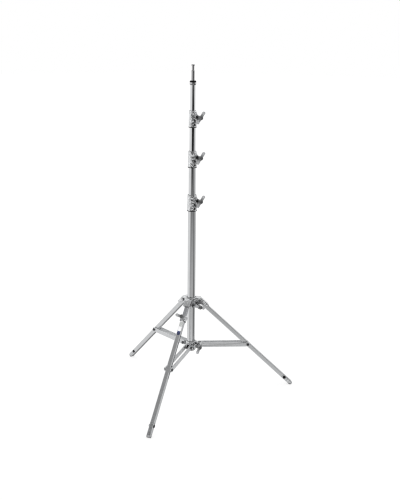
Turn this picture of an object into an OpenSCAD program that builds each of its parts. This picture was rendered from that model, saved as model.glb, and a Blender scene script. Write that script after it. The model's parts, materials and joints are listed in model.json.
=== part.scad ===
// Telescopic lighting stand: a chromed steel column with three risers and a 16 mm top stud,
// on three braced legs, one of them a levelling leg. Millimetres, +Z up.
// The origin is on the floor under the column. Azimuth 0 is +X, and it grows towards +Y.

/* [Column] */
// Outside diameter of the base tube
base_tube_d = 40; // [39:0.5:41]
// Step in outside diameter from each tube to the riser inside it
tube_step = 5; // [4.8:0.1:5.2]
// Wall of every round tube
tube_wall = 1.5; // [1.4:0.1:1.6]
// Height of the base tube's lower end above the floor
column_foot_z = 241; // [237:1:243]
// Height of the base collar's lower rim above the floor
base_collar_z = 989; // [977:1:1012]
// Height of each collar
collar_h = 82; // [78:1:86]
// How far riser 2 stands out of the base collar
riser_2_out = 138; // [20:1:400]
// How far riser 3 stands out of riser 2's collar
riser_3_out = 116; // [20:1:400]
// How far riser 4 stands out of riser 3's collar
riser_4_out = 122; // [20:1:400]

/* [Top stud] */
// Diameter of the stud that carries the lamp
stud_d = 16; // [15.8:0.1:16]
// Length of the stud above its ring
stud_h = 76; // [72:1:80]
// Diameter of the ring under the stud
ring_d = 32; // [30:1:34]
// Height of the ring
ring_h = 21; // [18:1:24]

/* [Legs] */
// Distance from the column's axis to each foot's centre
foot_r = 542; // [532:1:552]
// Side of the square leg tube
leg_w = 22; // [21.5:0.5:22.5]
// Wall of the leg tube
leg_wall = 1.5; // [1.4:0.1:1.6]
// Height of the leg hinges above the floor
leg_hinge_z = 505; // [500:1:510]
// Distance from the axis to the leg hinges
leg_hinge_r = 48; // [47:0.5:49]
// Distance down the leg from its hinge to the brace pivot
brace_at = 358; // [355:1:361]
// Gap on each side between the levelling leg's tube and the rail inside it
rail_gap = 0.2; // [0.15:0.05:0.3]
// Distance down the levelling leg from its hinge to the top of its clamp
clamp_at = 69; // [68:1:74]
// How far the levelling leg slides out from where it stands
level_out = 180; // [150:5:180]
// How far the levelling leg slides in from where it stands
level_in = 45; // [30:1:46]

/* [Braces] */
// Height of the brace hinges above the floor
brace_hinge_z = 264; // [262:1:266]
// Distance from the axis to the brace hinges
brace_hinge_r = 45; // [44:0.5:45]
// Height of a brace bar's section
brace_bar_h = 22; // [20:1:22]
// Thickness of a brace bar
brace_bar_t = 5.5; // [5:0.5:5.5]
// Distance between the centres of a pair of brace bars
brace_pair = 30; // [29.5:0.5:34]

/* [T-handles] */
// Length of a handle across its wings
handle_len = 70; // [62:1:72]
// Diameter of a clamp screw
screw_d = 8; // [7.5:0.5:8]

/* [Hidden] */

$fn = 48;
run = 0.05;              // radial clearance of a part that slides or turns
seat = 0.02;             // radial clearance of a part that is fixed in its hole
eps = 0.5;               // overrun of a cut past a face

// Azimuths of the legs, of the hub handles and of the collar clamps
RIGHT = 30;
LEFT = 150;
LEVEL = 270;
hub_handle_az = 337;
collar_ear_az = 55;

// Tube radii, from the base tube up to riser 4
function tube_r(n) = (base_tube_d - n * tube_step) / 2;
function bore_r(n) = tube_r(n) - tube_wall;

// Column levels
plug_h = 15;
collar_2_z = base_collar_z + collar_h + riser_2_out;
collar_3_z = collar_2_z + collar_h + riser_3_out;
ring_z = collar_3_z + collar_h + riser_4_out;
stud_z = ring_z + ring_h;
stack_gap = 6;
stud_tail_r = 7;                     // the stud's hidden tail, inside the ring and riser 4
stud_tail_h = 30;
riser_2_z = column_foot_z + plug_h + stack_gap + riser_2_out;
riser_3_z = riser_2_z + plug_h + riser_3_out;
riser_4_z = riser_3_z + plug_h + riser_4_out;
bush_h = 45;

// Collar proportions
collar_wall = 3;
collar_flare = 1.4;
collar_rim_h = 3.5;
collar_seat_h = 0.6 * collar_h;      // how far the tube below reaches into its collar
slit_w = 2.6;
ear_t = 8;
ear_r = 9.5;
ear_screw_z = 0.585 * collar_h;
ear_reach = 9.5;                     // from the sleeve's face to the clamp screw
fixing_r = 2.5;

// T-handle proportions, along its screw from the face that it presses on
stem_h = 15;
level_stem_h = 6;                    // the levelling clamp's handle has a shorter stem
wing_t = 8;
wing_w = 15;
boss_r = 10.5;
boss_h = 15;
screw_grip = 6;                      // how far a screw reaches into its handle's boss
collar_handle_tilt = -38;

// Legs
leg_angle = atan2(foot_r - leg_hinge_r, leg_hinge_z - leg_w / 2);
leg_len = norm([foot_r - leg_hinge_r, leg_hinge_z - leg_w / 2]);
leg_corner = 4;
foot_len = 62;                       // from the end of the tube to the centre of the foot's round
foot_pin_at = 48;
foot_pin_r = 7;
foot_pin_out = 2.5;                  // how far the pin stands out of the foot
pivot_r = 4;
sleeve_r = 6;
sleeve_half = brace_pair / 2 - brace_bar_t / 2 - 0.35;
ear_gap = leg_w / 2 + 0.6;
ear_wall = 5.5;
hood_t = 4.5;                        // the web that joins the ears over the leg's top end
tenon_len = 40;

// Levelling leg
rail_w = leg_w - 2 * leg_wall - 2 * rail_gap;
rail_wall = 2;
rail_len = brace_at + 62;
clamp_len = 29;
clamp_w = 29;
clamp_screw_at = clamp_at + 16;
clamp_seat_at = clamp_at + 23;       // where the outer tube starts inside its clamp
label_t = 0.3;
label_w = 17;
label_len = 56;

// Braces
brace_end = [
    leg_hinge_r + brace_at * sin(leg_angle),
    leg_hinge_z - brace_at * cos(leg_angle)
];
brace_len = norm(brace_end - [brace_hinge_r, brace_hinge_z]);
brace_rise = atan2(brace_end[1] - brace_hinge_z, brace_end[0] - brace_hinge_r);
bolt_head_r = 6.5;
bolt_head_h = 4.5;

// Hubs
hub_r = 26;
hub_up = 26;
hub_down = 27;
hood_len = 45;
level_hood_len = 18;                 // shorter, clear of the levelling clamp
lower_hub_z = column_foot_z + 0.1;
lower_hub_h = 46;
hub_boss_r = 10;
hub_boss_end = 41;
shoe_t = 2.4;
shoe_w = 15;
upper_handle_z = leg_hinge_z - 16;
lower_handle_z = brace_hinge_z + 1;

// ---------------------------------------------------------------- shared shapes

module square_with_round_corners(w, r) {
    square([w - 2 * r, w], center = true);
    square([w, w - 2 * r], center = true);
    for (x = [-1, 1], y = [-1, 1])
        translate([x, y] * (w / 2 - r)) circle(r);
}

// A square tube that runs along +X from x0 to x1
module square_tube(w, wall, corner, x0, x1) {
    translate([x0, 0, 0]) rotate([90, 0, 90])
        linear_extrude(x1 - x0)
            difference() {
                square_with_round_corners(w, corner);
                square_with_round_corners(w - 2 * wall, corner - wall);
            }
}

// A square bar that runs along +X from x0 to x1
module square_bar(w, corner, x0, x1) {
    translate([x0, 0, 0]) rotate([90, 0, 90])
        linear_extrude(x1 - x0) square_with_round_corners(w, corner);
}

// A rod along the Y axis, centred on it
module rod_across(r, half) {
    rotate([90, 0, 0]) cylinder(r = r, h = 2 * half, center = true);
}

module ring(r_out, r_in, z0, h) {
    translate([0, 0, z0]) difference() {
        cylinder(r = r_out, h = h, $fn = 96);
        translate([0, 0, -eps]) cylinder(r = r_in, h = h + 2 * eps, $fn = 96);
    }
}

// Places children in a leg's frame: +X runs down the leg from its hinge, +Z is its outer face
module on_leg(azimuth) {
    rotate([0, 0, azimuth]) translate([leg_hinge_r, 0, leg_hinge_z])
        rotate([0, 90 - leg_angle, 0]) children();
}

// Places children in a brace's frame: +X runs out along the brace from its hinge
module on_brace(azimuth) {
    rotate([0, 0, azimuth]) translate([brace_hinge_r, 0, brace_hinge_z])
        rotate([0, -brace_rise, 0]) children();
}

// ---------------------------------------------------------------- T-handle and its screw

// A cast T-handle. Its screw runs along +Z, and the handle starts at z = 0.
module t_handle(stem = stem_h) {
    wing_z = stem + (boss_h - wing_t) / 2;
    end_x = handle_len / 2 - wing_w / 2;
    difference() {
        union() {
            cylinder(r1 = 8.5, r2 = 6.5, h = stem + 1);
            translate([0, 0, stem]) cylinder(r = boss_r, h = boss_h - 1.5);
            translate([0, 0, stem + boss_h - 1.5]) cylinder(r1 = boss_r, r2 = boss_r - 1.5, h = 1.5);
            translate([0, 0, wing_z]) linear_extrude(wing_t) {
                for (s = [-1, 1]) {
                    translate([s * end_x, 0]) circle(wing_w / 2);
                    polygon([[0, -5.5], [s * end_x, -wing_w / 2], [s * end_x, wing_w / 2], [0, 5.5]]);
                }
            }
        }
        translate([0, 0, -eps]) cylinder(d = screw_d + 2 * seat, h = stem + screw_grip + eps);
        translate([0, 0, stem + boss_h - 1.5]) cylinder(r = 6, h = 2);
        for (s = [-1, 1])
            translate([s * (end_x + 1), 0, wing_z + wing_t - 1.5]) cylinder(r = 4.2, h = 2);
    }
}

module clamp_screw(reach, stem = stem_h) {
    translate([0, 0, -reach]) cylinder(d = screw_d, h = reach + stem + screw_grip - 0.2);
}

// ---------------------------------------------------------------- collars

function collar_top_r(n) = tube_r(n) + collar_wall;
function ear_at(n) = collar_top_r(n) + ear_reach - 2;

// Places children on a collar's clamp screw: +Z runs along the screw, towards its handle
module on_ear_screw(n, z0, offset) {
    rotate([0, 0, collar_ear_az]) translate([ear_at(n), -offset, z0 + ear_screw_z])
        rotate([90, 0, 0]) children();
}

// A collar that is fixed on the top of tube n and clamps the riser inside it
module collar(n, z0) {
    top_r = collar_top_r(n);
    foot_r1 = top_r + collar_flare;
    reach = ear_at(n);
    difference() {
        union() {
            translate([0, 0, z0]) cylinder(r = foot_r1 + 0.9, h = collar_rim_h, $fn = 96);
            translate([0, 0, z0 + collar_rim_h])
                cylinder(r1 = foot_r1, r2 = top_r, h = collar_h - collar_rim_h - 3, $fn = 96);
            translate([0, 0, z0 + collar_h - 3])
                cylinder(r1 = top_r, r2 = top_r - 1.2, h = 3, $fn = 96);
            rotate([0, 0, collar_ear_az]) translate([0, 0, z0])
                rotate([90, 0, 0]) linear_extrude(slit_w + 2 * ear_t, center = true) {
                    translate([reach, ear_screw_z]) circle(ear_r);
                    polygon([
                        [top_r - 2.5, 0.3 * collar_h], [top_r - 2.5, collar_h - 4],
                        [reach - 2, ear_screw_z + ear_r * 0.97],
                        [reach + ear_r * 0.86, ear_screw_z - ear_r * 0.5]
                    ]);
                }
            rotate([0, 0, 318]) translate([top_r - 3, 0, z0 + collar_h - 13])
                rotate([0, 90, 0]) cylinder(r = 6, h = 4.8);
        }
        translate([0, 0, z0 - eps]) cylinder(r = tube_r(n) + seat, h = collar_seat_h + eps, $fn = 96);
        translate([0, 0, z0 - eps]) cylinder(r = tube_r(n + 1) + run, h = collar_h + 2 * eps, $fn = 96);
        rotate([0, 0, collar_ear_az])
            translate([tube_r(n + 1) - 3, -slit_w / 2, z0 + 0.42 * collar_h]) cube([60, slit_w, collar_h]);
        on_ear_screw(n, z0, 0) cylinder(d = screw_d + 2 * run, h = 60, center = true);
        collar_fixings(n, z0) cylinder(r = fixing_r + seat, h = 40);
    }
}

// Places children at a collar's two fixing screws: +Z points out of the collar
module collar_fixings(n, z0) {
    for (level = [0.17, 0.42])
        rotate([0, 0, 325]) translate([tube_r(n) - tube_wall + 0.2, 0, z0 + level * collar_h])
            rotate([0, 90, 0]) children();
}

module collar_bolts(n, z0) {
    head_at = collar_wall + collar_flare + tube_wall + 0.1;
    collar_fixings(n, z0) {
        cylinder(r = fixing_r, h = head_at + 0.5);
        translate([0, 0, head_at]) difference() {
            cylinder(r = 4, h = 2.4);
            translate([0, 0, 1]) cylinder(r = 2, h = 2, $fn = 6);
        }
    }
}

module collar_nut(n, z0) {
    on_ear_screw(n, z0, -(slit_w / 2 + ear_t + 6.6)) difference() {
        cylinder(r = 7.4, h = 6.5, $fn = 6);
        translate([0, 0, -eps]) cylinder(d = screw_d + 2 * run, h = 8);
    }
}

module collar_handle(n, z0) {
    on_ear_screw(n, z0, slit_w / 2 + ear_t + 0.1) rotate([0, 0, 90 + collar_handle_tilt]) t_handle();
}

module collar_screw(n, z0) {
    on_ear_screw(n, z0, slit_w / 2 + ear_t + 0.1) clamp_screw(slit_w + 2 * ear_t + 9);
}

// ---------------------------------------------------------------- column and risers

module base_tube() {
    color("lightgray") difference() {
        ring(tube_r(0), bore_r(0), column_foot_z, base_collar_z + collar_seat_h - 0.05 - column_foot_z);
        collar_fixings(0, base_collar_z) translate([0, 0, -2]) cylinder(r = fixing_r + seat, h = 10);
    }
}

// The plug in the base tube's lower end. Its flange stops the column from leaving the lower hub.
module base_tube_plug() {
    color("dimgray") translate([0, 0, column_foot_z]) {
        translate([0, 0, -4]) cylinder(r = tube_r(0) + 3, h = 3.95, $fn = 96);
        translate([0, 0, -1]) cylinder(r = bore_r(0) - seat, h = plug_h, $fn = 96);
    }
}

// Riser n, from its open lower end at z0 to its seat in the collar at z1
module riser(n, z0, z1) {
    color("gainsboro") difference() {
        ring(tube_r(n), bore_r(n), z0, z1 - z0);
        collar_fixings(n, z1 - collar_seat_h + 0.05) translate([0, 0, -2])
            cylinder(r = fixing_r + seat, h = 10);
    }
}

// The guide bush around the lower end of riser n
module riser_bush(n, z0) {
    color("black") {
        ring(bore_r(n - 1) - run, tube_r(n) + seat, z0, bush_h);
        ring(bore_r(n - 1) - run, bore_r(n) - 2, z0 - 4, 3.95);
    }
}

module riser_4_tube() {
    color("gainsboro") ring(tube_r(3), bore_r(3), riser_4_z, ring_z + 8 - riser_4_z);
}

module stud_ring() {
    r = ring_d / 2;
    soft = 5;
    color("silver") difference() {
        union() {
            rotate_extrude($fn = 96) translate([r - soft, ring_z + soft]) {
                circle(soft);
                translate([0, ring_h - 2 * soft]) circle(soft);
                square([soft, ring_h - 2 * soft]);
            }
            translate([0, 0, ring_z]) cylinder(r = r - soft, h = ring_h, $fn = 96);
        }
        translate([0, 0, ring_z - eps]) cylinder(r = tube_r(3) + seat, h = 8.1 + eps, $fn = 96);
        translate([0, 0, ring_z]) cylinder(r = stud_tail_r + seat, h = ring_h + eps, $fn = 96);
    }
}

module top_stud() {
    r = stud_d / 2;
    neck_r = 6;
    body_h = 0.6 * stud_h;
    head_h = 7;
    color("silver") rotate_extrude($fn = 96) polygon([
        [0, ring_z - stud_tail_h], [stud_tail_r, ring_z - stud_tail_h], [stud_tail_r, stud_z + 0.05],
        [r, stud_z + 0.05], [r, stud_z + body_h], [neck_r, stud_z + body_h + 3],
        [neck_r, stud_z + stud_h - head_h - 2], [r, stud_z + stud_h - head_h],
        [r, stud_z + stud_h - 1.2], [r - 1.2, stud_z + stud_h], [0, stud_z + stud_h]
    ]);
}

// ---------------------------------------------------------------- hubs

// Cuts shared by both hubs: the column's bore, the handle's screw and the pocket of its shoe
module hub_cuts(handle_z) {
    translate([0, 0, handle_z - 80]) cylinder(r = tube_r(0) + run, h = 160, $fn = 96);
    rotate([0, 0, hub_handle_az]) translate([0, 0, handle_z]) {
        rotate([0, 90, 0]) cylinder(d = screw_d + 2 * run, h = 60);
        translate([15, -shoe_w / 2, -9]) cube([7.6, shoe_w, 18]);
    }
}

module hub_boss(handle_z) {
    rotate([0, 0, hub_handle_az]) translate([hub_r - 6, 0, handle_z]) rotate([0, 90, 0]) {
        cylinder(r = hub_boss_r, h = hub_boss_end - hub_r + 3);
        translate([0, 0, hub_boss_end - hub_r + 3]) cylinder(r1 = hub_boss_r, r2 = hub_boss_r - 2, h = 3);
    }
}

module hub_shoe(handle_z) {
    color("peru") intersection() {
        ring(tube_r(0) + shoe_t, tube_r(0) + run, handle_z - 8.9, 17.8);
        rotate([0, 0, hub_handle_az]) translate([10, -shoe_w / 2 + 0.1, handle_z - 9])
            cube([20, shoe_w - 0.2, 18]);
    }
}

// Places children on a hub's clamp screw: +Z runs out of the hub, towards the handle
module on_hub_screw(handle_z, r) {
    rotate([0, 0, hub_handle_az]) translate([r, 0, handle_z]) rotate([0, 90, 0]) children();
}

module upper_hub() {
    z0 = leg_hinge_z - hub_down;
    color("silver") difference() {
        union() {
            translate([0, 0, z0]) cylinder(r = hub_r, h = hub_down + hub_up - 3, $fn = 96);
            translate([0, 0, leg_hinge_z + hub_up - 3])
                cylinder(r1 = hub_r, r2 = hub_r - 2, h = 3, $fn = 96);
            for (leg = [[RIGHT, hood_len], [LEFT, hood_len], [LEVEL, level_hood_len]])
                rotate([0, 0, leg[0]]) translate([0, 0, leg_hinge_z]) rotate([90, 0, 0]) {
                    for (s = [-1, 1]) translate([0, 0, s * (ear_gap + ear_wall / 2)])
                        linear_extrude(ear_wall, center = true) upper_ear(leg[1]);
                    linear_extrude(2 * ear_gap + ear_wall, center = true) hood(leg[1]);
                }
            hub_boss(upper_handle_z);
        }
        hub_cuts(upper_handle_z);
        for (a = [RIGHT, LEFT, LEVEL])
            rotate([0, 0, a]) translate([leg_hinge_r, 0, leg_hinge_z])
                rod_across(pivot_r + seat, 30);
    }
}

// A point beside the leg in side view, s down the leg from its hinge and off out from its middle:
// x is the distance from the column's axis, y the height from the hinge
function leg_point(s, off) = [
    leg_hinge_r + s * sin(leg_angle) + off * cos(leg_angle),
    off * sin(leg_angle) - s * cos(leg_angle)
];

// Side view of an ear, which runs down the leg as far as len
module upper_ear(len) {
    r = 12;
    top = ear_gap + hood_t;
    translate([leg_hinge_r, 0]) circle(r);
    polygon([
        [18, -hub_down + 2], [18, hub_up - 3], [hub_r + 4, hub_up - 3], leg_point(-12, top),
        leg_point(len, top), leg_point(len, top - 8), leg_point(14, -4), [leg_hinge_r, -r],
        [hub_r + 4, -hub_down + 4]
    ]);
}

// Side view of the web over the leg's top end. The spread leg stops just under it.
module hood(len) {
    top = ear_gap + hood_t;
    polygon([
        [18, 14], [18, hub_up - 3], [hub_r + 4, hub_up - 3], leg_point(-12, top), leg_point(len, top),
        leg_point(len, ear_gap), leg_point(-5, ear_gap), [leg_hinge_r - 8, 14]
    ]);
}

module lower_hub() {
    tongue = brace_pair - brace_bar_t - 1.2;
    color("silver") difference() {
        union() {
            translate([0, 0, lower_hub_z]) cylinder(r = hub_r, h = lower_hub_h - 3, $fn = 96);
            translate([0, 0, lower_hub_z + lower_hub_h - 3])
                cylinder(r1 = hub_r, r2 = hub_r - 2, h = 3, $fn = 96);
            for (a = [RIGHT, LEFT, LEVEL])
                rotate([0, 0, a]) translate([0, 0, brace_hinge_z])
                    rotate([90, 0, 0]) linear_extrude(tongue, center = true) lower_tongue();
            hub_boss(lower_handle_z);
        }
        hub_cuts(lower_handle_z);
        for (a = [RIGHT, LEFT, LEVEL])
            rotate([0, 0, a]) translate([brace_hinge_r, 0, brace_hinge_z]) {
                rod_across(pivot_r + seat, 30);
                translate([-8, -5, -30]) cube([30, 10, 60]);
            }
    }
}

module lower_tongue() {
    r = 9;
    translate([brace_hinge_r, 0]) circle(r);
    polygon([
        [18, -16], [18, 18], [hub_r + 3, 18],
        [brace_hinge_r, r], [brace_hinge_r, -r], [hub_r + 3, -16]
    ]);
}

module hub_handle(handle_z, tilt) {
    on_hub_screw(handle_z, hub_boss_end + 0.1) rotate([0, 0, tilt]) t_handle();
}

module hub_screw(handle_z) {
    on_hub_screw(handle_z, hub_boss_end + 0.1)
        clamp_screw(hub_boss_end - tube_r(0) - shoe_t);
}

// A bolt across a hinge, with its head at one end and its nut at the other
module hinge_bolt(half) {
    rod_across(pivot_r, half + 0.5);
    translate([0, -half, 0]) rotate([90, 0, 0]) difference() {
        cylinder(r = bolt_head_r, h = bolt_head_h);
        translate([0, 0, 2]) cylinder(r = 3, h = 3, $fn = 6);
    }
    translate([0, half + bolt_head_h, 0]) rotate([90, 0, 0])
        cylinder(r = bolt_head_r + 0.8, h = bolt_head_h, $fn = 6);
}

module leg_hinge_bolts() {
    color("dimgray") for (a = [RIGHT, LEFT, LEVEL])
        rotate([0, 0, a]) translate([leg_hinge_r, 0, leg_hinge_z]) hinge_bolt(ear_gap + ear_wall + 0.05);
}

module brace_hinge_bolts() {
    half = brace_pair / 2 + brace_bar_t / 2 + 0.3;
    color("dimgray") for (a = [RIGHT, LEFT, LEVEL])
        rotate([0, 0, a]) translate([brace_hinge_r, 0, brace_hinge_z]) hinge_bolt(half);
}

// ---------------------------------------------------------------- legs

// The part of space that a leg end may fill: everything beyond x, and a round of radius r before it
module round_top(x, r, far) {
    translate([x, 0, 0]) rod_across(r, 30);
    translate([x, -30, -30]) cube([far, 60, 60]);
}

// A plain leg tube, from its rounded top at the hinge to the foot
module leg_tube(azimuth) {
    end = leg_len - foot_len;
    color("gainsboro") on_leg(azimuth) difference() {
        intersection() {
            square_tube(leg_w, leg_wall, leg_corner, -leg_w / 2, end);
            round_top(0, leg_w / 2, leg_len);
        }
        rod_across(pivot_r + run, 30);
        translate([brace_at, 0, 0]) rod_across(sleeve_r + seat, 30);
    }
}

// The spacer sleeve that crosses a leg at its brace pivot
module pivot_sleeve(azimuth) {
    color("gray") on_leg(azimuth) translate([brace_at, 0, 0]) difference() {
        rod_across(sleeve_r, sleeve_half);
        rod_across(pivot_r + run, 30);
    }
}

// A foot: a tenon inside the tube, and a block whose end is round in side view
module foot(azimuth) {
    end = leg_len - foot_len;
    color("darkgray") on_leg(azimuth) difference() {
        union() {
            intersection() {
                square_bar(leg_w - 0.2, leg_corner - 0.5, end + 0.05, leg_len + leg_w / 2);
                union() {
                    translate([leg_len, 0, 0]) rod_across(leg_w / 2, 30);
                    translate([end, -30, -30]) cube([foot_len, 60, 60]);
                }
            }
            square_bar(leg_w - 2 * leg_wall - 0.1, leg_corner - leg_wall, end - tenon_len, end + 1);
        }
        translate([leg_len - foot_pin_at, 0, 0]) rod_across(foot_pin_r + seat, 30);
    }
}

module foot_pin(azimuth) {
    color("black") on_leg(azimuth) translate([leg_len - foot_pin_at, 0, 0])
        rod_across(foot_pin_r, leg_w / 2 + foot_pin_out);
}

// ---------------------------------------------------------------- levelling leg

module level_rail() {
    color("darkgray") on_leg(LEVEL) difference() {
        union() {
            intersection() {
                square_tube(rail_w, rail_wall, 2.5, -rail_w / 2, rail_len);
                round_top(0, rail_w / 2, leg_len);
            }
            rod_across(rail_w / 2 - 0.2, leg_w / 2);
        }
        rod_across(pivot_r + run, 30);
        translate([brace_at, 0, 0]) rod_across(sleeve_r + seat, 30);
    }
}

// The nylon glide in the rail's lower end: a plug, and a flange that fits the outer tube
module level_rail_bush() {
    color("black") on_leg(LEVEL) {
        square_bar(rail_w - 2 * rail_wall - 2 * seat, 0.5, rail_len - 20, rail_len + 1);
        square_bar(leg_w - 2 * leg_wall - 2 * run, leg_corner - leg_wall, rail_len + 0.05, rail_len + 8);
    }
}

module level_tube() {
    slot_from = brace_at - level_out;
    slot_to = brace_at + level_in;
    slot_r = sleeve_r + 0.4;
    color("gainsboro") on_leg(LEVEL) difference() {
        square_tube(leg_w, leg_wall, leg_corner, clamp_seat_at, leg_len - foot_len);
        for (x = [slot_from, slot_to]) translate([x, 0, 0]) rod_across(slot_r, 30);
        translate([slot_from, -30, -slot_r]) cube([slot_to - slot_from, 60, 2 * slot_r]);
    }
}

// The clamp casting on the top of the outer tube, which grips the rail
module level_clamp() {
    boss_z = clamp_w / 2 - 1;
    color("silver") on_leg(LEVEL) difference() {
        union() {
            square_bar(clamp_w, 5, clamp_at, clamp_at + clamp_len);
            translate([clamp_screw_at, 0, boss_z]) cylinder(r1 = 11, r2 = 9, h = 7);
        }
        square_bar(rail_w + 2 * run, 2.5, clamp_at - 1, clamp_at + clamp_len);
        square_bar(leg_w + 2 * seat, leg_corner, clamp_seat_at - 0.05, clamp_at + clamp_len + 1);
        translate([clamp_screw_at, 0, 0]) {
            cylinder(d = screw_d + 2 * run, h = 40);
            translate([-6, -5, 0]) cube([12, 10, rail_w / 2 + 2.7]);
        }
    }
}

module level_clamp_shoe() {
    color("peru") on_leg(LEVEL) translate([clamp_screw_at - 5.9, -4.9, rail_w / 2 + run])
        cube([11.8, 9.8, 2.4]);
}

// Places children on the levelling clamp's screw: +Z runs out of the leg's outer face
module on_level_screw() {
    on_leg(LEVEL) translate([clamp_screw_at, 0, clamp_w / 2 + 6.1]) children();
}

module level_handle() {
    color("silver") on_level_screw() rotate([0, 0, 90 - 12]) t_handle(level_stem_h);
}

module level_screw() {
    color("darkgray") on_level_screw()
        clamp_screw(clamp_w / 2 + 6.1 - rail_w / 2 - run - 2.5, level_stem_h);
}

// Two plain stickers on the outer face, under the clamp
module level_labels() {
    on_leg(LEVEL) {
        color("whitesmoke") label(clamp_at + clamp_len + 0.5, label_len);
        color("midnightblue") label(clamp_at + clamp_len + label_len + 1.5, 20);
    }
}

module label(x0, len) {
    translate([x0, -label_w / 2, leg_w / 2 + 0.01]) cube([len, label_w, label_t]);
}

// ---------------------------------------------------------------- braces

// A pair of flat bars that straddle the leg, each with a hole at both ends
module brace_bars(azimuth) {
    color("darkgray") on_brace(azimuth) for (s = [-1, 1])
        translate([0, s * brace_pair / 2, 0]) rotate([90, 0, 0])
            linear_extrude(brace_bar_t, center = true) difference() {
                union() {
                    for (x = [0, brace_len]) translate([x, 0]) circle(brace_bar_h / 2);
                    translate([0, -brace_bar_h / 2]) square([brace_len, brace_bar_h]);
                }
                circle(pivot_r + run);
                translate([brace_len, 0]) circle(pivot_r + seat);
            }
}

// The ends of the bolt at the brace's outer pivot: the head in one bar, the nut end in the other
module brace_bolt(azimuth) {
    inner = brace_pair / 2 - brace_bar_t / 2;
    outer = brace_pair / 2 + brace_bar_t / 2;
    color("dimgray") on_brace(azimuth) translate([brace_len, 0, 0]) {
        translate([0, -inner, 0]) rotate([90, 0, 0]) cylinder(r = pivot_r, h = brace_bar_t + 0.5);
        translate([0, -outer - 0.02, 0]) rotate([90, 0, 0]) difference() {
            cylinder(r = bolt_head_r, h = bolt_head_h);
            translate([0, 0, 2]) cylinder(r = 3, h = 3, $fn = 6);
        }
        translate([0, outer + 0.5, 0]) rotate([90, 0, 0]) cylinder(r = pivot_r, h = brace_bar_t + 0.5);
        translate([0, outer + 0.02 + bolt_head_h, 0]) rotate([90, 0, 0])
            cylinder(r = bolt_head_r + 0.8, h = bolt_head_h, $fn = 6);
    }
}

// ---------------------------------------------------------------- the nodes

module lower_hub_shoe() { hub_shoe(lower_handle_z); }
module lower_hub_handle() { color("silver") hub_handle(lower_handle_z, -34); }
module lower_hub_screw() { color("darkgray") hub_screw(lower_handle_z); }
module upper_hub_shoe() { hub_shoe(upper_handle_z); }
module upper_hub_handle() { color("silver") hub_handle(upper_handle_z, 66); }
module upper_hub_screw() { color("darkgray") hub_screw(upper_handle_z); }

lower_hub();
lower_hub_shoe();
brace_hinge_bolts();
lower_hub_handle();
lower_hub_screw();
base_tube();
base_tube_plug();
color("silver") collar(0, base_collar_z);  // base_collar
color("dimgray") collar_bolts(0, base_collar_z);  // base_collar_bolts
color("dimgray") collar_nut(0, base_collar_z);  // base_collar_nut
color("silver") collar_handle(0, base_collar_z);  // base_collar_handle
color("darkgray") collar_screw(0, base_collar_z);  // base_collar_screw
riser(1, riser_2_z, collar_2_z + collar_seat_h - 0.05);  // riser_2_tube
riser_bush(1, riser_2_z);  // riser_2_bush
color("silver") collar(1, collar_2_z);  // riser_2_collar
color("dimgray") collar_bolts(1, collar_2_z);  // riser_2_collar_bolts
color("dimgray") collar_nut(1, collar_2_z);  // riser_2_collar_nut
color("silver") collar_handle(1, collar_2_z);  // riser_2_handle
color("darkgray") collar_screw(1, collar_2_z);  // riser_2_screw
riser(2, riser_3_z, collar_3_z + collar_seat_h - 0.05);  // riser_3_tube
riser_bush(2, riser_3_z);  // riser_3_bush
color("silver") collar(2, collar_3_z);  // riser_3_collar
color("dimgray") collar_bolts(2, collar_3_z);  // riser_3_collar_bolts
color("dimgray") collar_nut(2, collar_3_z);  // riser_3_collar_nut
color("silver") collar_handle(2, collar_3_z);  // riser_3_handle
color("darkgray") collar_screw(2, collar_3_z);  // riser_3_screw
riser_4_tube();
riser_bush(3, riser_4_z);  // riser_4_bush
stud_ring();
top_stud();
upper_hub();
upper_hub_shoe();
leg_hinge_bolts();
upper_hub_handle();
upper_hub_screw();
leg_tube(RIGHT);  // right_leg_tube
pivot_sleeve(RIGHT);  // right_leg_sleeve
foot(RIGHT);  // right_foot
foot_pin(RIGHT);  // right_foot_pin
leg_tube(LEFT);  // left_leg_tube
pivot_sleeve(LEFT);  // left_leg_sleeve
foot(LEFT);  // left_foot
foot_pin(LEFT);  // left_foot_pin
level_rail();
pivot_sleeve(LEVEL);  // level_rail_sleeve
level_rail_bush();
level_tube();
level_clamp();
level_clamp_shoe();
foot(LEVEL);  // level_foot
foot_pin(LEVEL);  // level_foot_pin
level_labels();
level_handle();
level_screw();
brace_bars(RIGHT);  // right_brace_bars
brace_bolt(RIGHT);  // right_brace_bolt
brace_bars(LEFT);  // left_brace_bars
brace_bolt(LEFT);  // left_brace_bolt
brace_bars(LEVEL);  // level_brace_bars
brace_bolt(LEVEL);  // level_brace_bolt
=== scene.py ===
"""Looks for the telescopic lighting stand: cast fittings, bevelled bars, stickers, plated metal and studio.

Everything is in metres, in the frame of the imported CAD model.
"""

import json
import math

import bmesh
import bpy
from mathutils import Matrix, Vector


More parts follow.
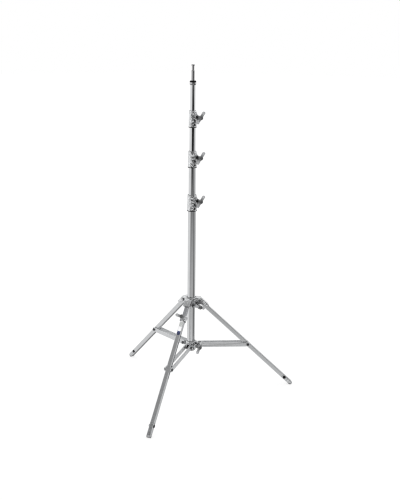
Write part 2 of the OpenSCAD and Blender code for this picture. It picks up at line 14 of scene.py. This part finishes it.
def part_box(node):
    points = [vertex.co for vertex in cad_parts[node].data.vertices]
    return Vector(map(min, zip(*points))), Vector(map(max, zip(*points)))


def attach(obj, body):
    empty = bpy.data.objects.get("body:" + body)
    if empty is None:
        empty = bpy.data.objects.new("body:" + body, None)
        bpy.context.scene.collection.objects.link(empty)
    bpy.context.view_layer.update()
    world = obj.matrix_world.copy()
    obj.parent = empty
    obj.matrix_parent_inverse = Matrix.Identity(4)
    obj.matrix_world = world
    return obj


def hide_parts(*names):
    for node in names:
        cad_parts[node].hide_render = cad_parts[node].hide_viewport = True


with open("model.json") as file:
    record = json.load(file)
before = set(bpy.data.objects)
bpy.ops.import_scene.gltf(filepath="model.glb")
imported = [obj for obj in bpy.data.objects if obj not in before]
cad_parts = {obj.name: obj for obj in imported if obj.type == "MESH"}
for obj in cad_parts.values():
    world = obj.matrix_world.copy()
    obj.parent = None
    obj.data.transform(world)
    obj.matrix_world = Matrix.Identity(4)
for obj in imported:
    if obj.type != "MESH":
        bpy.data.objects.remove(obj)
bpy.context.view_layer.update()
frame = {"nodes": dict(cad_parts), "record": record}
MM = 0.001
NODES = frame["nodes"]
BODY_OF = {n: body for body, names in frame["record"]["behaviour"]["bodies"].items() for n in names}
SLOT_OF = {s["node"]: s["material_slot"] for s in frame["record"]["subparts"]}
COLOUR_OF = {m["slot"]: m["base_color"] for m in frame["record"]["materials"]}


# ---------------------------------------------------------------- material tools

class Shader:
    """A material's node tree, with short names for the nodes that the finishes share."""

    def __init__(self, name):
        self.material = bpy.data.materials.new(name)
        self.material.use_nodes = True
        self.tree = self.material.node_tree
        self.surface = self.tree.nodes["Principled BSDF"]
        self.place = self.node("ShaderNodeTexCoord").outputs["Object"]

    def node(self, kind, **values):
        made = self.tree.nodes.new(kind)
        for key, value in values.items():
            if key in made.inputs:
                made.inputs[key].default_value = value
            else:
                setattr(made, key, value)
        return made

    def link(self, source, target):
        self.tree.links.new(source, target)

    def noise(self, size_mm, stretch=(1, 1, 1), detail=3.0, rough=0.55):
        """Noise whose grain is about size_mm, drawn out along an axis by a stretch below 1."""
        mapping = self.node("ShaderNodeMapping")
        mapping.inputs["Scale"].default_value = [s / (size_mm * MM) for s in stretch]
        texture = self.node("ShaderNodeTexNoise", Scale=1.0, Detail=detail, Roughness=rough)
        self.link(self.place, mapping.inputs["Vector"])
        self.link(mapping.outputs["Vector"], texture.inputs["Vector"])
        return texture.outputs["Fac"]

    def ramp(self, source, low, high, from_low=0.3, from_high=0.7):
        """Maps a 0 to 1 value onto low to high, with its ends clamped."""
        span = self.node("ShaderNodeMapRange")
        for key, value in zip(("From Min", "From Max", "To Min", "To Max"), (from_low, from_high, low, high)):
            span.inputs[key].default_value = value
        self.link(source, span.inputs["Value"])
        return span.outputs["Result"]

    def mix(self, factor, low, high):
        """A colour between low and high."""
        blend = self.node("ShaderNodeMix", data_type="RGBA")
        for socket, value in ((blend.inputs[6], low), (blend.inputs[7], high)):
            if isinstance(value, bpy.types.NodeSocket):
                self.link(value, socket)
            else:
                socket.default_value = (*value[:3], 1)
        if isinstance(factor, bpy.types.NodeSocket):
            self.link(factor, blend.inputs[0])
        else:
            blend.inputs[0].default_value = factor
        return blend.outputs[2]

    def height(self):
        """The height in metres above the frame's floor."""
        parts = self.node("ShaderNodeSeparateXYZ")
        self.link(self.place, parts.inputs[0])
        return parts.outputs["Z"]

    def off_axis(self, point, axis):
        """The distance in metres from a straight line."""
        offset = self.node("ShaderNodeVectorMath", operation="SUBTRACT")
        across = self.node("ShaderNodeVectorMath", operation="CROSS_PRODUCT")
        length = self.node("ShaderNodeVectorMath", operation="LENGTH")
        self.link(self.place, offset.inputs[0])
        offset.inputs[1].default_value = point
        self.link(offset.outputs["Vector"], across.inputs[0])
        across.inputs[1].default_value = axis
        self.link(across.outputs["Vector"], length.inputs[0])
        return length.outputs["Value"]

    def painted_shade_share(self, reach_mm):
        """Ambient occlusion, 1 in the open and lower in recesses and joints, for painting shade into base
        colours.
        """
        shade = self.node("ShaderNodeAmbientOcclusion", samples=6)
        shade.inputs["Distance"].default_value = reach_mm * MM
        return shade.outputs["AO"]

    def bump(self, source, depth_mm, strength=1.0, edge_mm=0.0):
        """Turns a height into the surface normal, over edges rounded by edge_mm."""
        relief = self.node("ShaderNodeBump", Strength=strength, Distance=depth_mm * MM)
        self.link(source, relief.inputs["Height"])
        if edge_mm:
            rounding = self.node("ShaderNodeBevel", samples=4)
            rounding.inputs["Radius"].default_value = edge_mm * MM
            self.link(rounding.outputs["Normal"], relief.inputs["Normal"])
        self.link(relief.outputs["Normal"], self.surface.inputs["Normal"])

    def set(self, key, value):
        socket = self.surface.inputs[key]
        if isinstance(value, bpy.types.NodeSocket):
            self.link(value, socket)
        else:
            socket.default_value = value


def grey(value):
    return (value, value, value)


def scaled(colour, share):
    """A colour made darker or lighter by a share, kept at or below 1."""
    return [min(1, c * share) for c in colour]


# ---------------------------------------------------------------- finishes

PAINTED_LIP_SHADE = (3.5 * MM, 5 * MM)    # where a collar's painted shade and dark reflection on its lower lip fade out, above its lower edge
PAINTED_HANDLE_SHADE = (7 * MM, 22 * MM)    # how far from its screw a handle's painted shade starts to fade, and where it has faded out


def drawn_chrome(name, colour, polish):
    """Chrome plate over drawn tube: mirror bands, long faint upright lines and a film of handling haze."""
    s = Shader(name)
    lines = s.noise(0.7, (1, 1, 0.012), detail=2.0)
    haze = s.noise(38, detail=4.0)
    tone = s.ramp(haze, 0.0, 1.0)
    s.set("Base Color", s.mix(tone, scaled(colour, 0.93), colour))
    s.set("Metallic", 1.0)
    combined = s.node("ShaderNodeMath", operation="MULTIPLY")
    s.link(s.ramp(haze, 0.7, 1.35), combined.inputs[0])
    s.link(s.ramp(lines, polish * 0.85, polish * 1.2), combined.inputs[1])
    s.set("Roughness", combined.outputs[0])
    s.bump(lines, 0.004, 0.5, edge_mm=0.4)
    return s.material


def satin_steel(name, colour, roughness, edge_mm=0.7, metal=1.0, shade_mm=9):
    """Satin plated steel: fine brushed grain, soft blotches, and painted shade within shade_mm of a
    neighbour.
    """
    s = Shader(name)
    grain = s.noise(0.45, detail=4.0, rough=0.7)
    blotch = s.noise(24, detail=3.0)
    # painted shade: the base colour turns dark grey in recesses and joints
    clear_of_painted_shade = s.ramp(s.painted_shade_share(shade_mm), 0.55, 1.0, 0.3, 1.0)
    base = s.mix(s.ramp(blotch, 0.0, 1.0), scaled(colour, 0.95), scaled(colour, 1.03))
    s.set("Base Color", s.mix(clear_of_painted_shade, grey(0.10), base))
    s.set("Metallic", metal)
    combined = s.node("ShaderNodeMath", operation="ADD")
    s.link(s.ramp(grain, roughness - 0.04, roughness + 0.05), combined.inputs[0])
    s.link(s.ramp(blotch, -0.015, 0.02), combined.inputs[1])
    s.set("Roughness", combined.outputs[0])
    s.bump(grain, 0.01, 0.6, edge_mm=edge_mm)
    return s.material


def plated_casting(name, colour, roughness, metal, wave_mm=4.5, rim=None):
    """Polished and plated die casting: faces left wavy by hand polishing, with painted shade in the corners.
    rim is the height of a lower edge whose lip carries painted shade and dark reflection."""
    s = Shader(name)
    waves = s.noise(11, detail=1.0)
    cloud = s.noise(13, detail=4.0)
    # painted shade: the base colour turns near black in corners and recesses
    clear_of_painted_shade = s.ramp(s.painted_shade_share(12), 0.0, 1.0, 0.5, 1.0)
    base = s.mix(s.ramp(cloud, 0.0, 1.0), scaled(colour, 0.9), scaled(colour, 1.3))
    base = s.mix(clear_of_painted_shade, grey(0.01), base)
    # painted shade and dark reflection: the lower lip turns near black
    if rim is not None:
        above_painted_lip_shade = s.ramp(s.height(), 0.0, 1.0, rim + PAINTED_LIP_SHADE[0], rim + PAINTED_LIP_SHADE[1])
        base = s.mix(above_painted_lip_shade, grey(0.012), base)
    s.set("Base Color", base)
    s.set("Metallic", metal)
    s.set("Roughness", s.ramp(cloud, roughness - 0.03, roughness + 0.06))
    s.bump(waves, wave_mm, 1.0)
    return s.material


def handle_with_painted_shade(name, colour, roughness, point, axis):
    """Plated T-handle: painted shade round its screw and in its recesses, fading to its own colour towards
    its ends.
    """
    s = Shader(name)
    waves = s.noise(7, detail=1.5)
    cloud = s.noise(8, detail=4.0)
    # painted shade: near the screw the base colour is darkened to three tenths
    past_painted_shade = s.ramp(s.off_axis(point, axis), 0.0, 1.0, *PAINTED_HANDLE_SHADE)
    clear_of_painted_shade = s.ramp(s.painted_shade_share(4), 0.0, 1.0, 0.35, 0.8)
    base = s.mix(s.ramp(cloud, 0.0, 1.0), scaled(colour, 0.85), colour)
    base = s.mix(past_painted_shade, scaled(colour, 0.3), base)
    s.set("Base Color", s.mix(clear_of_painted_shade, grey(0.2), base))
    s.set("Metallic", s.ramp(past_painted_shade, 0.9, 0.6, 0.0, 1.0))
    s.set("Roughness", s.ramp(cloud, roughness - 0.03, roughness + 0.08))
    s.bump(waves, 3.0, 1.0)
    return s.material


def ring_with_painted_reflection(name, colour, low, high):
    """Polished ring between two heights: painted dark reflection on its rounded shoulders, its middle in its
    own colour with small stains.
    """
    s = Shader(name)
    span = high - low
    stain = s.noise(5, detail=3.0)
    # painted dark reflection: the upper part and the lower edge turn near black
    upper = s.ramp(s.height(), 1.0, 0.0, low + 0.55 * span, low + 0.72 * span)
    lower = s.ramp(s.height(), 0.25, 1.0, low + 0.12 * span, low + 0.34 * span)
    base = s.mix(s.ramp(stain, 0.0, 1.0), scaled(colour, 0.8), colour)
    base = s.mix(lower, grey(0.02), base)
    s.set("Base Color", s.mix(upper, grey(0.015), base))
    s.set("Metallic", 1.0)
    s.set("Roughness", s.ramp(stain, 0.12, 0.22))
    s.bump(s.noise(0.5, (0.02, 0.02, 1.0), detail=1.0), 0.01, 0.5)
    return s.material


def dark_plated(name, colour, roughness):
    """Dark zinc or black oxide on small fasteners, rubbed lighter in patches."""
    s = Shader(name)
    grain = s.noise(0.5, detail=3.0)
    patch = s.noise(4, detail=3.0)
    s.set("Base Color", s.mix(s.ramp(patch, 0, 1, 0.45, 0.75), colour, scaled(colour, 2.1)))
    s.set("Metallic", 1.0)
    s.set("Roughness", s.ramp(patch, roughness - 0.08, roughness + 0.1))
    s.bump(grain, 0.012, 0.6, edge_mm=0.4)
    return s.material


def turned_steel(name, colour):
    """Lathe-turned steel: fine rings round the axis."""
    s = Shader(name)
    rings = s.noise(0.5, (0.02, 0.02, 1.0), detail=1.0)
    wear = s.noise(7, detail=4.0)
    s.set("Base Color", s.mix(s.ramp(wear, 0, 1), scaled(colour, 0.85), colour))
    s.set("Metallic", 1.0)
    s.set("Roughness", s.ramp(wear, 0.08, 0.16))
    s.bump(rings, 0.008, 0.5, edge_mm=0.4)
    return s.material


def moulded(name, colour, roughness):
    """Moulded nylon or film: dull, finely pebbled, dusty in patches."""
    s = Shader(name)
    pebble = s.noise(0.6)
    dust = s.noise(9, detail=5.0)
    dusty = [min(1, c * 1.35 + 0.02) for c in colour]
    s.set("Base Color", s.mix(s.ramp(dust, 0, 1, 0.4, 0.8), colour, dusty))
    s.set("Roughness", s.ramp(dust, roughness - 0.06, roughness + 0.1))
    s.set("Specular IOR Level", 0.35)
    s.bump(pebble, 0.05, 0.6, edge_mm=0.6)
    return s.material


def sticker(name, ground, print_colour, low, high, printed):
    """Laminated sticker between two heights: a plain ground, with a soft block of print between the two
    shares of its length that printed gives, under a clear film."""
    s = Shader(name)
    along = s.ramp(s.height(), 1.0, 0.0, low, high)
    smudge = s.noise(2.4, detail=1.0)
    start, end = printed
    block = s.node("ShaderNodeMath", operation="MULTIPLY")
    s.link(s.ramp(along, 0.0, 1.0, start - 0.02, start + 0.02), block.inputs[0])
    s.link(s.ramp(along, 1.0, 0.0, end - 0.02, end + 0.02), block.inputs[1])
    ink = s.node("ShaderNodeMath", operation="MULTIPLY")
    s.link(block.outputs[0], ink.inputs[0])
    s.link(s.ramp(smudge, 0.45, 1.0, 0.35, 0.6), ink.inputs[1])
    s.set("Base Color", s.mix(ink.outputs[0], ground, print_colour))
    s.set("Roughness", s.ramp(s.noise(6), 0.22, 0.34))
    s.set("Coat Weight", 0.5)
    s.set("Coat Roughness", 0.12)
    s.bump(s.noise(2.0, detail=2.0), 0.01, 0.4)
    return s.material


FINISH = {
    "chrome_tube": drawn_chrome("chrome_tube", COLOUR_OF["chrome_tube"], 0.06),
    "leg_steel": satin_steel("leg_steel", COLOUR_OF["leg_steel"], 0.24),
    "brace_steel": satin_steel("brace_steel", COLOUR_OF["brace_steel"], 0.36, metal=0.75, shade_mm=4),
    "rail_steel": satin_steel("rail_steel", COLOUR_OF["rail_steel"], 0.32, metal=0.8),
    "stud_steel": turned_steel("stud_steel", scaled(COLOUR_OF["stud_steel"], 0.8)),
    "casting": plated_casting("casting", COLOUR_OF["casting"], 0.09, 1.0),
    "bolt_steel": dark_plated("bolt_steel", scaled(COLOUR_OF["bolt_steel"], 0.4), 0.34),
    "screw_steel": satin_steel("screw_steel", COLOUR_OF["screw_steel"], 0.3, edge_mm=0.3),
    "pin_dark": dark_plated("pin_dark", scaled(COLOUR_OF["pin_dark"], 0.2), 0.5),
    "bush_plastic": moulded("bush_plastic", COLOUR_OF["bush_plastic"], 0.45),
    "brake_shoe": satin_steel("brake_shoe", COLOUR_OF["brake_shoe"], 0.35, edge_mm=0.2),
    "foot_casting": plated_casting("foot_casting", COLOUR_OF["foot_casting"], 0.16, 1.0, wave_mm=1.2),
    "label": moulded("label", COLOUR_OF["label"], 0.3),
    "handle_casting": plated_casting("handle_casting", COLOUR_OF["handle_casting"], 0.14, 0.8),
}

for name, node in NODES.items():
    node.data.materials.clear()
    node.data.materials.append(FINISH[SLOT_OF[name]])

NODES["leg_hinge_bolts"].data.materials[0] = FINISH["screw_steel"]
# the stud ring's finish carries painted dark reflection on its upper part and lower edge
low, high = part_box("stud_ring")
NODES["stud_ring"].data.materials[0] = ring_with_painted_reflection("stud_ring", COLOUR_OF["stud_steel"], low.z, high.z)


# ---------------------------------------------------------------- mesh tools

def welded_copy(node, name):
    """A new object whose mesh is the CAD node's own, with its split vertices joined."""
    mesh = NODES[node].data.copy()
    mesh.name = name
    work = bmesh.new()
    work.from_mesh(mesh)
    bmesh.ops.remove_doubles(work, verts=work.verts, dist=1e-6)
    work.to_mesh(mesh)
    work.free()
    piece = bpy.data.objects.new(name, mesh)
    bpy.context.scene.collection.objects.link(piece)
    return piece


def bake(piece):
    """Applies the piece's modifiers to its mesh."""
    graph = bpy.context.evaluated_depsgraph_get()
    baked = bpy.data.meshes.new_from_object(piece.evaluated_get(graph))
    baked.name = piece.name
    piece.modifiers.clear()
    piece.data = baked


def dress(piece, node, finish=None, smooth=True):
    """Shades the piece, gives it the node's finish or its own, and lets it stand for the node."""
    piece.data.materials.clear()
    piece.data.materials.append(finish or FINISH[SLOT_OF[node]])
    if smooth:
        piece.data.shade_smooth()
    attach(piece, BODY_OF[node])
    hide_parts(node)


def cast(node, voxel_mm, passes, bore=None, finish=None):
    """Stands for a CAD node with a cast version: every edge and inner corner is melted to a fillet.
    bore is (axis point, axis, radius): the wall round it is set back to that radius."""
    piece = welded_copy(node, node + ".cast")
    remesh = piece.modifiers.new("melt", "REMESH")
    remesh.mode = "VOXEL"
    remesh.voxel_size = voxel_mm * MM
    soften = piece.modifiers.new("soften", "SMOOTH")
    soften.factor = 0.5
    soften.iterations = passes
    bake(piece)
    if bore:
        point, axis, radius = bore
        for v in piece.data.vertices:
            along = axis * (v.co - point).dot(axis)
            off = v.co - point - along
            if off.length < radius:
                v.co = point + along + off.normalized() * radius
    dress(piece, node, finish)
    return piece


def bevelled(node, width_mm):
    """Stands for a CAD node with the same shape, its edges broken by a small round."""
    piece = welded_copy(node, node + ".bevelled")
    work = bmesh.new()
    work.from_mesh(piece.data)
    bmesh.ops.dissolve_limit(work, angle_limit=math.radians(1), verts=work.verts, edges=work.edges)
    work.to_mesh(piece.data)
    work.free()
    edge = piece.modifiers.new("edge", "BEVEL")
    edge.width = width_mm * MM
    edge.segments = 3
    edge.limit_method = "ANGLE"
    edge.angle_limit = math.radians(40)
    bake(piece)
    dress(piece, node)
    return piece


# ---------------------------------------------------------------- castings, handles, bars

AXIS = Vector((0, 0, 1))
BORE_GAP = 0.25 * MM


def column_bore(tube):
    low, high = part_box(tube)
    return (Vector((0, 0, 0)), AXIS, (high.x - low.x) / 2 + BORE_GAP)


# each collar's finish carries painted shade and dark reflection on its lower lip
for collar, tube in (("base_collar", "riser_2_tube"), ("riser_2_collar", "riser_3_tube"),
                     ("riser_3_collar", "riser_4_tube")):
    plated = plated_casting(collar, COLOUR_OF["casting"], 0.09, 1.0, rim=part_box(collar)[0].z)
    cast(collar, 0.9, 6, column_bore(tube), plated)
for hub in ("upper_hub", "lower_hub"):
    cast(hub, 0.9, 6, column_bore("base_tube"))
cast("level_clamp", 0.8, 5)
TURNS = {j["child"]: j for j in frame["record"]["behaviour"]["joints"] if j["name"].endswith("_turn")}
# each handle's finish carries painted shade round its screw
for handle in ("base_collar_handle", "riser_2_handle", "riser_3_handle", "upper_hub_handle",
               "lower_hub_handle", "level_handle"):
    turn = TURNS[BODY_OF[handle]]
    painted_shade_finish = handle_with_painted_shade(handle, COLOUR_OF["handle_casting"], 0.12, turn["pos_m"], turn["axis"])
    cast(handle, 0.6, 8, finish=painted_shade_finish)
for foot in ("right_foot", "left_foot", "level_foot"):
    cast(foot, 0.8, 4)
for bars in ("right_brace_bars", "left_brace_bars", "level_brace_bars"):
    bevelled(bars, 1.2)


# ---------------------------------------------------------------- stickers

FILM_EDGE = 0.5 * MM      # a film's corner edges are its only ones shorter than this
FILM_CORNER = 2.5 * MM


def loose_parts(work):
    """The connected sets of vertices of a bmesh, the highest first."""
    left = set(work.verts)
    parts = []
    while left:
        front = [left.pop()]
        part = set(front)
        while front:
            vertex = front.pop()
            for edge in vertex.link_edges:
                other = edge.other_vert(vertex)
                if other in left:
                    left.discard(other)
                    part.add(other)
                    front.append(other)
        parts.append(part)
    return sorted(parts, key=lambda part: -max(v.co.z for v in part))


def film(name, place, ground, print_colour, printed):
    """One of the two stickers, counted from the top, with rounded corners."""
    piece = welded_copy("level_labels", name)
    work = bmesh.new()
    work.from_mesh(piece.data)
    bmesh.ops.dissolve_limit(work, angle_limit=math.radians(1), verts=work.verts, edges=work.edges)
    parts = loose_parts(work)
    bmesh.ops.delete(work, geom=[v for n, part in enumerate(parts) if n != place for v in part])
    corners = [e for e in work.edges if e.calc_length() < FILM_EDGE]
    bmesh.ops.bevel(work, geom=corners, offset=FILM_CORNER, segments=5, affect="EDGES")
    heights = [v.co.z for v in work.verts]
    work.to_mesh(piece.data)
    work.free()
    finish = sticker(name, ground, print_colour, min(heights), max(heights), printed)
    dress(piece, "level_labels", finish, smooth=False)


PAPER, PAPER_PRINT = (0.9, 0.9, 0.91), (0.42, 0.44, 0.42)
BAND, BAND_PRINT = (0.05, 0.07, 0.2), (0.02, 0.025, 0.06)
film("level_labels.paper", 0, PAPER, PAPER_PRINT, (0.12, 0.55))
film("level_labels.band", 1, BAND, BAND_PRINT, (0.3, 1.1))


# ---------------------------------------------------------------- studio

# Soft boxes and black flags round the stand, which only the polished metal sees. They are placed so that the
# tubes show bright and dark bands like the photo's. Each is an azimuth and its half width, an elevation and
# its half height, the light, and the softness of its edges. Angles are in degrees, and an azimuth counts from
# the camera, positive to its right.
PANELS = (
    (0, 180, -45, 60, 0.78, 4),      # pale sweep under and round the stand
    (5, 50, -45, 29, 0.42, 12),      # the sweep in front, in the camera's shade
    (5, 46, -54, 31, 0.75, 2),       # lighter floor close to the feet
    (74, 24, -45, 34, 0.09, 16),     # flag low on the right
    (48, 20, -15, 3, 0.12, 5),       # its upper edge
    (-41, 9, -20, 4, 0.20, 6),       # edge of the sweep on the left
    (140, 30, -19, 4, 0.38, 7),      # edge of the sweep behind
    (165, 40, -60, 28, 0.28, 14),    # shade under the stand, at the back
    (-2, 26, -12, 5, 0.03, 6),       # unlit room behind the camera
    (20, 38, -9.5, 3, 0.005, 2.5),   # its open door
    (62, 46, -2, 4.5, 0.01, 2),      # and the dark corner beside it
    (0, 180, 12, 13, 0.42, 7),       # walls
    (-95, 30, 20, 26, 1.10, 10),     # box on the left
    (96, 22, 22, 28, 0.95, 10),      # box on the right
    (178, 34, 16, 22, 0.85, 12),     # box behind
    (6, 40, 14, 15, 0.03, 10),       # unlit room, upper part
    (0, 180, 62, 30, 0.40, 8),       # ceiling
    (150, 60, 66, 18, 1.10, 10),     # overhead box
    (-57, 20, 47, 8, 0.26, 2),       # gap between the ceiling and the box on the left
)
CAMERA_AZIMUTH = 291.25
FLOOR_RADIUS = 14
FLOOR_GLOW = 0.76       # what the white floor gives off itself, so that it carries no shadows
DULL_LIGHT = 1.15       # the tent's light on dull surfaces


def studio():
    floor_mesh = bpy.data.meshes.new("floor")
    work = bmesh.new()
    bmesh.ops.create_circle(work, cap_ends=True, segments=96, radius=FLOOR_RADIUS)
    work.to_mesh(floor_mesh)
    work.free()
    floor = bpy.data.objects.new("floor", floor_mesh)
    bpy.context.scene.collection.objects.link(floor)
    floor.visible_glossy = False
    s = Shader("floor")
    mottle = s.noise(900, detail=2.0)
    s.set("Base Color", s.mix(s.ramp(mottle, 0.0, 1.0), grey(0.24), grey(0.26)))
    s.set("Emission Color", (1, 1, 1, 1))
    s.set("Emission Strength", FLOOR_GLOW)
    s.set("Roughness", 0.9)
    s.set("Specular IOR Level", 0.0)
    floor_mesh.materials.append(s.material)

    world = bpy.data.worlds.new("studio")
    bpy.context.scene.world = world
    world.use_nodes = True
    world.cycles.sampling_method = "NONE"
    tree = world.node_tree
    background = tree.nodes["Background"]

    def node(kind, **values):
        made = tree.nodes.new(kind)
        for key, value in values.items():
            setattr(made, key, value)
        return made

    def math_node(operation, first, second=0.0):
        made = node("ShaderNodeMath", operation=operation)
        for socket, value in zip(made.inputs, (first, second)):
            if isinstance(value, bpy.types.NodeSocket):
                tree.links.new(value, socket)
            else:
                socket.default_value = value
        return made.outputs[0]

    def window(value, half, soft):
        """1 within half of zero, falling to 0 over the softness."""
        span = node("ShaderNodeMapRange", interpolation_type="SMOOTHSTEP")
        ends = (half - soft, half + soft, 1, 0)
        for key, number in zip(("From Min", "From Max", "To Min", "To Max"), ends):
            span.inputs[key].default_value = number
        tree.links.new(math_node("ABSOLUTE", value), span.inputs["Value"])
        return span.outputs["Result"]

    direction = node("ShaderNodeSeparateXYZ")
    tree.links.new(node("ShaderNodeTexCoord").outputs["Generated"], direction.inputs[0])
    x, y, z = direction.outputs
    azimuth = math_node("MULTIPLY", math_node("ARCTAN2", y, x), 180 / math.pi)
    elevation = math_node("MULTIPLY", math_node("ARCSINE", z), 180 / math.pi)

    def choose(share, first, second):
        """A value between first and second."""
        blend = node("ShaderNodeMix", data_type="FLOAT")
        tree.links.new(share, blend.inputs[0])
        for socket, value in ((blend.inputs[2], first), (blend.inputs[3], second)):
            if isinstance(value, bpy.types.NodeSocket):
                tree.links.new(value, socket)
            else:
                socket.default_value = value
        return blend.outputs[0]

    light = 1.0
    for centre, half_width, middle, half_height, level, soft in PANELS:
        off = math_node("SUBTRACT", azimuth, CAMERA_AZIMUTH + centre)
        off = math_node("SUBTRACT", math_node("FLOORED_MODULO", math_node("ADD", off, 180), 360), 180)
        # a panel that goes all the way round has no side edges
        across = window(off, half_width if half_width < 180 else 400, soft)
        upright = window(math_node("SUBTRACT", elevation, middle), half_height, soft)
        share = math_node("MULTIPLY", across, upright)
        light = choose(share, light, level)
    # the polished metal sees the panels, dull surfaces see an even bright tent, and the camera plain white
    ray = node("ShaderNodeLightPath").outputs
    seen = choose(ray["Is Diffuse Ray"], 1.0, DULL_LIGHT)
    tree.links.new(choose(ray["Is Glossy Ray"], seen, light), background.inputs["Strength"])
    background.inputs["Color"].default_value = (1, 1, 1, 1)

    bpy.context.scene.view_settings.view_transform = "Standard"
    bpy.context.scene.cycles.filter_width = 1.2


def camera():
    """The camera stands in front of the levelling leg, a little to its right, and looks down on the stand."""
    azimuth, distance, height, focal_mm = math.radians(CAMERA_AZIMUTH), 4.332, 2.182, 64.8
    pitch, yaw, roll = math.radians(17.9), math.radians(0.56), math.radians(0.635)
    out = Vector((math.cos(azimuth), math.sin(azimuth), 0))
    right = Vector((-out.y, out.x, 0))
    level = -out * math.cos(yaw) + right * math.sin(yaw)
    forward = level * math.cos(pitch) - AXIS * math.sin(pitch)
    side = forward.cross(AXIS).normalized()
    top = side.cross(forward)
    right_axis = side * math.cos(roll) + top * math.sin(roll)
    up_axis = top * math.cos(roll) - side * math.sin(roll)
    lens = bpy.data.cameras.new("camera")
    lens.lens = focal_mm
    lens.clip_end = 200
    eye = bpy.data.objects.new("camera", lens)
    bpy.context.scene.collection.objects.link(eye)
    place = Matrix((right_axis, up_axis, -forward)).transposed().to_4x4()
    place.translation = out * distance + AXIS * height
    eye.matrix_world = place
    bpy.context.scene.camera = eye


studio()
camera()
